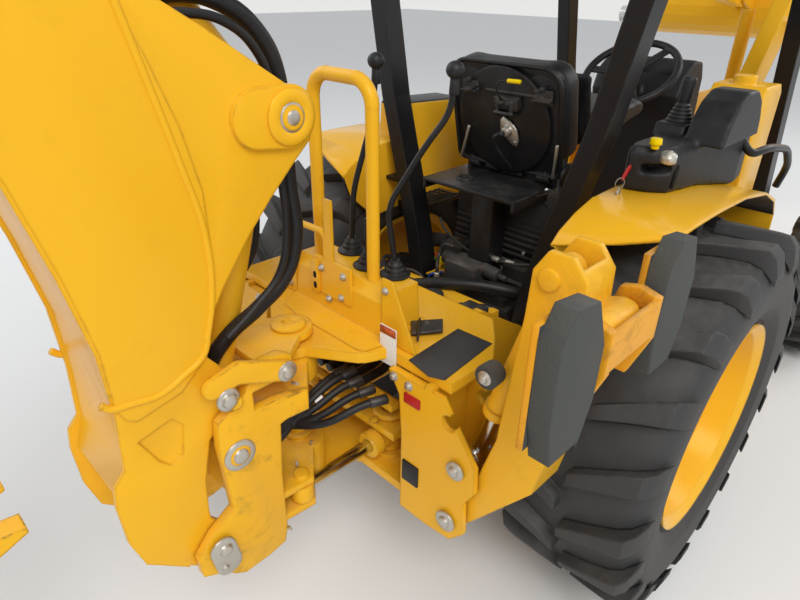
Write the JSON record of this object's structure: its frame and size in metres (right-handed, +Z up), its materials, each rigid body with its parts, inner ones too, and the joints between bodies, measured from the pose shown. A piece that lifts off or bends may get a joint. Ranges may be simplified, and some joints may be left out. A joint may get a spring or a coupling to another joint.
{
  "type": "backhoe loader",
  "caption": "Compact tractor loader backhoe with open canopy, folded boom, raised stabilizer legs and a front loader bucket held part way up.",
  "frame": {"origin": "on the ground, under the middle of the machine's box", "axes": "+X towards the loader bucket, +Y to the machine's left, +Z up"},
  "size_m": [5.8909, 1.85, 2.7376],
  "materials": {
    "black_paint": "satin black paint",
    "black_plastic": "textured moulding",
    "engine_iron": "rough casting",
    "hose_rubber": "smooth rubber cover",
    "rod_chrome": "ground and plated",
    "seat_vinyl": "black vinyl cover",
    "tyre_rubber": "dusty black rubber",
    "yellow_paint": "gloss machine enamel"
  },
  "bodies": {
    "machine": {"main_frame": "yellow_paint", "rear_axle": "black_paint", "front_axle": "yellow_paint", "engine_block": "engine_iron", "hood": "yellow_paint", "fender_left": "yellow_paint", "fender_right": "yellow_paint", "side_console": "black_plastic", "hydraulic_tank": "yellow_paint", "dashboard": "black_plastic", "seat_base": "black_plastic", "canopy_posts": "black_paint", "canopy_roof": "black_paint", "control_tower": "yellow_paint", "control_levers": "black_plastic", "loader_frame": "yellow_paint", "hydraulic_hoses": "hose_rubber"},
    "wheel_rear_left": {"rim_rear_left": "yellow_paint", "tyre_rear_left": "tyre_rubber"},
    "wheel_rear_right": {"rim_rear_right": "yellow_paint", "tyre_rear_right": "tyre_rubber"},
    "wheel_front_left": {"rim_front_left": "yellow_paint", "tyre_front_left": "tyre_rubber"},
    "wheel_front_right": {"rim_front_right": "yellow_paint", "tyre_front_right": "tyre_rubber"},
    "knuckle_left": {"knuckle_left": "black_paint"},
    "knuckle_right": {"knuckle_right": "black_paint"},
    "steering_wheel": {"steering_wheel": "black_plastic"},
    "seat": {"seat": "seat_vinyl"},
    "loader_arms": {"loader_arms": "yellow_paint"},
    "loader_bucket": {"loader_bucket": "yellow_paint"},
    "lift_barrels": {"lift_barrels": "black_paint"},
    "lift_rods": {"lift_rods": "rod_chrome"},
    "tilt_barrels": {"tilt_barrels": "black_paint"},
    "tilt_rods": {"tilt_rods": "rod_chrome"},
    "swing_casting": {"swing_casting": "yellow_paint"},
    "swing_barrel_left": {"swing_barrel_left": "yellow_paint"},
    "swing_barrel_right": {"swing_barrel_right": "yellow_paint"},
    "swing_rod_left": {"swing_rod_left": "rod_chrome"},
    "swing_rod_right": {"swing_rod_right": "rod_chrome"},
    "boom": {"boom": "yellow_paint"},
    "boom_barrel": {"boom_barrel": "yellow_paint"},
    "boom_rod": {"boom_rod": "rod_chrome"},
    "dipper": {"dipper": "yellow_paint"},
    "dipper_barrel": {"dipper_barrel": "yellow_paint"},
    "dipper_rod": {"dipper_rod": "rod_chrome"},
    "hoe_bucket": {"hoe_bucket": "yellow_paint"},
    "hoe_bucket_barrel": {"hoe_bucket_barrel": "yellow_paint"},
    "hoe_bucket_rod": {"hoe_bucket_rod": "rod_chrome"},
    "bucket_levers": {"bucket_levers": "yellow_paint"},
    "bucket_link": {"bucket_link": "yellow_paint"},
    "stabilizer_left": {"stabilizer_left": "yellow_paint"},
    "stabilizer_right": {"stabilizer_right": "yellow_paint"},
    "stabilizer_pad_left": {"stabilizer_pad_left": "yellow_paint"},
    "stabilizer_pad_right": {"stabilizer_pad_right": "yellow_paint"},
    "stabilizer_barrel_left": {"stabilizer_barrel_left": "yellow_paint"},
    "stabilizer_barrel_right": {"stabilizer_barrel_right": "yellow_paint"},
    "stabilizer_rod_left": {"stabilizer_rod_left": "rod_chrome"},
    "stabilizer_rod_right": {"stabilizer_rod_right": "rod_chrome"}
  },
  "joints": [
    {"name": "wheel_rear_left_spin", "type": "hinge", "parent": "machine", "child": "wheel_rear_left", "pos_m": [-0.673, 0.655, 0.61], "axis": [0, 1, 0], "continuous": true},
    {"name": "wheel_rear_right_spin", "type": "hinge", "parent": "machine", "child": "wheel_rear_right", "pos_m": [-0.673, -0.655, 0.61], "axis": [0, 1, 0], "continuous": true},
    {"name": "steer_left", "type": "hinge", "parent": "machine", "child": "knuckle_left", "pos_m": [1.327, 0.56, 0.415], "axis": [0, 0, 1], "range_deg": [-35, 35]},
    {"name": "steer_right", "type": "hinge", "parent": "machine", "child": "knuckle_right", "pos_m": [1.327, -0.56, 0.415], "axis": [0, 0, 1], "range_deg": [-35, 35]},
    {"name": "wheel_front_left_spin", "type": "hinge", "parent": "knuckle_left", "child": "wheel_front_left", "pos_m": [1.327, 0.7, 0.415], "axis": [0, 1, 0], "continuous": true},
    {"name": "wheel_front_right_spin", "type": "hinge", "parent": "knuckle_right", "child": "wheel_front_right", "pos_m": [1.327, -0.7, 0.415], "axis": [0, 1, 0], "continuous": true},
    {"name": "steering_wheel_turn", "type": "hinge", "parent": "machine", "child": "steering_wheel", "pos_m": [0.117, 0, 1.48], "axis": [-0.5736, 0, 0.8192], "range_deg": [-540, 540]},
    {"name": "seat_tip", "type": "hinge", "parent": "machine", "child": "seat", "pos_m": [-0.673, 0, 1.24], "axis": [0, 1, 0], "range_deg": [-75, 0]},
    {"name": "loader_lift", "type": "hinge", "parent": "machine", "child": "loader_arms", "pos_m": [0.447, 0, 1.18], "axis": [0, -1, 0], "range_deg": [-50, 20]},
    {"name": "loader_bucket_tilt", "type": "hinge", "parent": "loader_arms", "child": "loader_bucket", "pos_m": [2.11594, 0, 1.7377], "axis": [0, 1, 0], "range_deg": [-60, 40]},
    {"name": "lift_pivot", "type": "hinge", "parent": "machine", "child": "lift_barrels", "pos_m": [0.557, 0, 0.64], "axis": [0, 1, 0], "range_deg": [-11.96, 28.4]},
    {"name": "lift_stroke", "type": "slide", "parent": "lift_barrels", "child": "lift_rods", "axis": [0.2651, 0, 0.9642], "range_m": [-0.2949, 0.1204]},
    {"name": "tilt_pivot", "type": "hinge", "parent": "loader_arms", "child": "tilt_barrels", "pos_m": [0.90074, 0, 2.07856], "axis": [0, 1, 0], "range_deg": [-2.41, 1.94]},
    {"name": "tilt_stroke", "type": "slide", "parent": "tilt_barrels", "child": "tilt_rods", "axis": [0.9914, 0, -0.1306], "range_m": [-0.1874, 0.1263]},
    {"name": "swing", "type": "hinge", "parent": "machine", "child": "swing_casting", "pos_m": [-1.613, 0, 0.59], "axis": [0, 0, 1], "range_deg": [-80, 80]},
    {"name": "swing_left_pivot", "type": "hinge", "parent": "machine", "child": "swing_barrel_left", "pos_m": [-1.373, 0.135, 0.59], "axis": [0, 0, 1], "range_deg": [-9.34, 9.34]},
    {"name": "swing_left_stroke", "type": "slide", "parent": "swing_barrel_left", "child": "swing_rod_left", "axis": [-1, 0, 0], "range_m": [-0.1602, 0.1602]},
    {"name": "swing_right_pivot", "type": "hinge", "parent": "machine", "child": "swing_barrel_right", "pos_m": [-1.373, -0.135, 0.59], "axis": [0, 0, 1], "range_deg": [-9.34, 9.34]},
    {"name": "swing_right_stroke", "type": "slide", "parent": "swing_barrel_right", "child": "swing_rod_right", "axis": [-1, 0, 0], "range_m": [-0.1602, 0.1602]},
    {"name": "boom_lower", "type": "hinge", "parent": "swing_casting", "child": "boom", "pos_m": [-1.957, 0, 0.579], "axis": [0, 1, 0], "range_deg": [-110, 0]},
    {"name": "boom_ram_pivot", "type": "hinge", "parent": "swing_casting", "child": "boom_barrel", "pos_m": [-1.879, 0, 0.838], "axis": [0, 1, 0], "range_deg": [-123.81, 1]},
    {"name": "boom_ram_stroke", "type": "slide", "parent": "boom_barrel", "child": "boom_rod", "axis": [0.2887, 0, 0.9574], "range_m": [-0.004, 0.3955]},
    {"name": "dipper_open", "type": "hinge", "parent": "boom", "child": "dipper", "pos_m": [-2.473, 0, 2.44], "axis": [0, -1, 0], "range_deg": [-120, 0]},
    {"name": "dipper_ram_pivot", "type": "hinge", "parent": "boom", "child": "dipper_barrel", "pos_m": [-1.661, 0, 1.561], "axis": [0, 1, 0], "range_deg": [-1, 3.63]},
    {"name": "dipper_ram_stroke", "type": "slide", "parent": "dipper_barrel", "child": "dipper_rod", "axis": [-0.6113, 0, 0.7914], "range_m": [-0.446, 0.004]},
    {"name": "hoe_bucket_open", "type": "hinge", "parent": "dipper", "child": "hoe_bucket", "pos_m": [-2.753, 0, 1.38], "axis": [0, -1, 0], "range_deg": [-120, 0]},
    {"name": "bucket_levers_pivot", "type": "hinge", "parent": "dipper", "child": "bucket_levers", "pos_m": [-2.693, 0, 1.609], "axis": [0, 1, 0], "range_deg": [-1, 78.9]},
    {"name": "bucket_link_pivot", "type": "hinge", "parent": "bucket_levers", "child": "bucket_link", "pos_m": [-2.909, 0, 1.484], "axis": [0, 1, 0], "range_deg": [-77.74, 1]},
    {"name": "hoe_bucket_ram_pivot", "type": "hinge", "parent": "dipper", "child": "hoe_bucket_barrel", "pos_m": [-2.695, 0, 2.343], "axis": [0, 1, 0], "range_deg": [-1, 3.79]},
    {"name": "hoe_bucket_ram_stroke", "type": "slide", "parent": "hoe_bucket_barrel", "child": "hoe_bucket_rod", "axis": [-0.2417, 0, -0.9703], "range_m": [-0.3158, 0.004]},
    {"name": "stabilizer_left_lower", "type": "hinge", "parent": "machine", "child": "stabilizer_left", "pos_m": [-1.418, 0.47, 0.576], "axis": [-1, 0, 0], "range_deg": [0, 115]},
    {"name": "pad_left_tip", "type": "hinge", "parent": "stabilizer_left", "child": "stabilizer_pad_left", "pos_m": [-1.418, 0.753, 1.249], "axis": [1, 0, 0], "range_deg": [-15, 15]},
    {"name": "stabilizer_ram_left_pivot", "type": "hinge", "parent": "stabilizer_left", "child": "stabilizer_barrel_left", "pos_m": [-1.418, 0.65, 1.32], "axis": [-1, 0, 0], "range_deg": [-1, 8.76]},
    {"name": "stabilizer_ram_left_stroke", "type": "slide", "parent": "stabilizer_barrel_left", "child": "stabilizer_rod_left", "axis": [0, -0.2763, -0.9611], "range_m": [-0.004, 0.3006]},
    {"name": "stabilizer_right_lower", "type": "hinge", "parent": "machine", "child": "stabilizer_right", "pos_m": [-1.418, -0.47, 0.576], "axis": [1, 0, 0], "range_deg": [0, 115]},
    {"name": "pad_right_tip", "type": "hinge", "parent": "stabilizer_right", "child": "stabilizer_pad_right", "pos_m": [-1.418, -0.753, 1.249], "axis": [1, 0, 0], "range_deg": [-15, 15]},
    {"name": "stabilizer_ram_right_pivot", "type": "hinge", "parent": "stabilizer_right", "child": "stabilizer_barrel_right", "pos_m": [-1.418, -0.65, 1.32], "axis": [1, 0, 0], "range_deg": [-1, 8.76]},
    {"name": "stabilizer_ram_right_stroke", "type": "slide", "parent": "stabilizer_barrel_right", "child": "stabilizer_rod_right", "axis": [0, 0.2763, -0.9611], "range_m": [-0.004, 0.3006]}
  ],
  "couplings": [
    {"joint": "steer_right", "follows": "steer_left", "ratio": 1},
    {"joint": "steering_wheel_turn", "follows": "steer_left", "ratio": 15},
    {"joint": "lift_pivot", "follows": "loader_lift", "ratio": -0.54803},
    {"joint": "lift_stroke", "follows": "loader_lift", "m_per_rad": 0.33334},
    {"joint": "tilt_pivot", "follows": "loader_bucket_tilt", "ratio": 0.02342},
    {"joint": "tilt_stroke", "follows": "loader_bucket_tilt", "m_per_rad": 0.17517},
    {"joint": "swing_left_pivot", "follows": "swing", "ratio": 0.1042},
    {"joint": "swing_left_stroke", "follows": "swing", "m_per_rad": 0.11184},
    {"joint": "swing_right_pivot", "follows": "swing", "ratio": 0.1042},
    {"joint": "swing_right_stroke", "follows": "swing", "m_per_rad": -0.11184},
    {"joint": "boom_ram_pivot", "follows": "boom_lower", "ratio": 1.1165},
    {"joint": "boom_ram_stroke", "follows": "boom_lower", "m_per_rad": -0.20391},
    {"joint": "dipper_ram_pivot", "follows": "dipper_open", "ratio": -0.021886},
    {"joint": "dipper_ram_stroke", "follows": "dipper_open", "m_per_rad": 0.21103},
    {"joint": "bucket_levers_pivot", "follows": "hoe_bucket_open", "ratio": -0.64913},
    {"joint": "bucket_link_pivot", "follows": "hoe_bucket_open", "ratio": 0.63952},
    {"joint": "hoe_bucket_ram_pivot", "follows": "hoe_bucket_open", "ratio": -0.023231},
    {"joint": "hoe_bucket_ram_stroke", "follows": "hoe_bucket_open", "m_per_rad": 0.14889},
    {"joint": "stabilizer_ram_left_pivot", "follows": "stabilizer_left_lower", "ratio": 0.06745},
    {"joint": "stabilizer_ram_left_stroke", "follows": "stabilizer_left_lower", "m_per_rad": 0.14778},
    {"joint": "stabilizer_ram_right_pivot", "follows": "stabilizer_right_lower", "ratio": 0.06745},
    {"joint": "stabilizer_ram_right_stroke", "follows": "stabilizer_right_lower", "m_per_rad": 0.14778}
  ]
}
